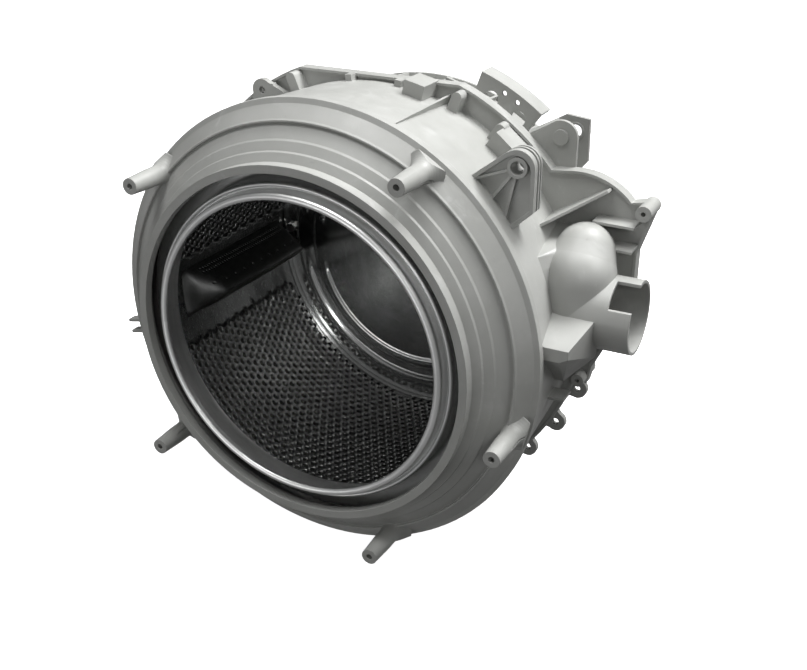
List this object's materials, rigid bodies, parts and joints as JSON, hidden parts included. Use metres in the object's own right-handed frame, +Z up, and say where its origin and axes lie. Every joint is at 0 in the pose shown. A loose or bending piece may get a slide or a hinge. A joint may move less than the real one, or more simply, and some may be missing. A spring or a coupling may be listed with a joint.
{
  "type": "front-load washer tub and drum",
  "caption": "Grey moulded washer tub lying with its mouth forward, with a perforated steel drum that spins inside, screw posts, brackets and a side outlet.",
  "frame": {"origin": "on the drum axis, in the plane of the front face's outer rim", "axes": "+Y along the drum axis from the mouth towards the back, +Z up as the tub lies on the floor, +X towards the outlet side"},
  "size_m": [0.6121, 0.484, 0.5224],
  "materials": {
    "tub_plastic": "satin moulded grey",
    "rubber_seal": "matt",
    "zinc_screws": "zinc plated",
    "cast_aluminium": "as cast",
    "stainless_sheet": "polished stainless",
    "ground_steel": "ground",
    "brass_sleeve": "satin"
  },
  "bodies": {
    "tub": {"front_tub_shell": "tub_plastic", "rear_tub_shell": "tub_plastic", "seam_seal": "rubber_seal", "seam_screws": "zinc_screws", "bearing_housing": "cast_aluminium", "shaft_seal": "rubber_seal", "front_bearing_outer_race": "ground_steel", "rear_bearing_outer_race": "ground_steel"},
    "drum": {"drum_wrapper": "stainless_sheet", "drum_front_panel": "stainless_sheet", "drum_back_panel": "stainless_sheet", "drum_spider": "cast_aluminium", "drum_shaft": "ground_steel", "seal_sleeve": "brass_sleeve", "front_bearing_inner_race": "ground_steel", "rear_bearing_inner_race": "ground_steel", "lifter_1": "stainless_sheet", "lifter_2": "stainless_sheet", "lifter_3": "stainless_sheet", "lifter_screws": "zinc_screws", "spider_bolts": "zinc_screws"},
    "front_ball_ring": {"front_bearing_balls": "ground_steel", "front_bearing_cage": "brass_sleeve"},
    "rear_ball_ring": {"rear_bearing_balls": "ground_steel", "rear_bearing_cage": "brass_sleeve"}
  },
  "joints": [
    {"name": "drum_spin", "type": "hinge", "parent": "tub", "child": "drum", "pos_m": [0, 0.2, 0], "axis": [0, 1, 0], "continuous": true},
    {"name": "front_ball_roll", "type": "hinge", "parent": "tub", "child": "front_ball_ring", "pos_m": [0, 0.328, 0], "axis": [0, 1, 0], "continuous": true},
    {"name": "rear_ball_roll", "type": "hinge", "parent": "tub", "child": "rear_ball_ring", "pos_m": [0, 0.3675, 0], "axis": [0, 1, 0], "continuous": true}
  ],
  "couplings": [
    {"joint": "front_ball_roll", "follows": "drum_spin", "ratio": 0.39652},
    {"joint": "rear_ball_roll", "follows": "drum_spin", "ratio": 0.39688}
  ]
}
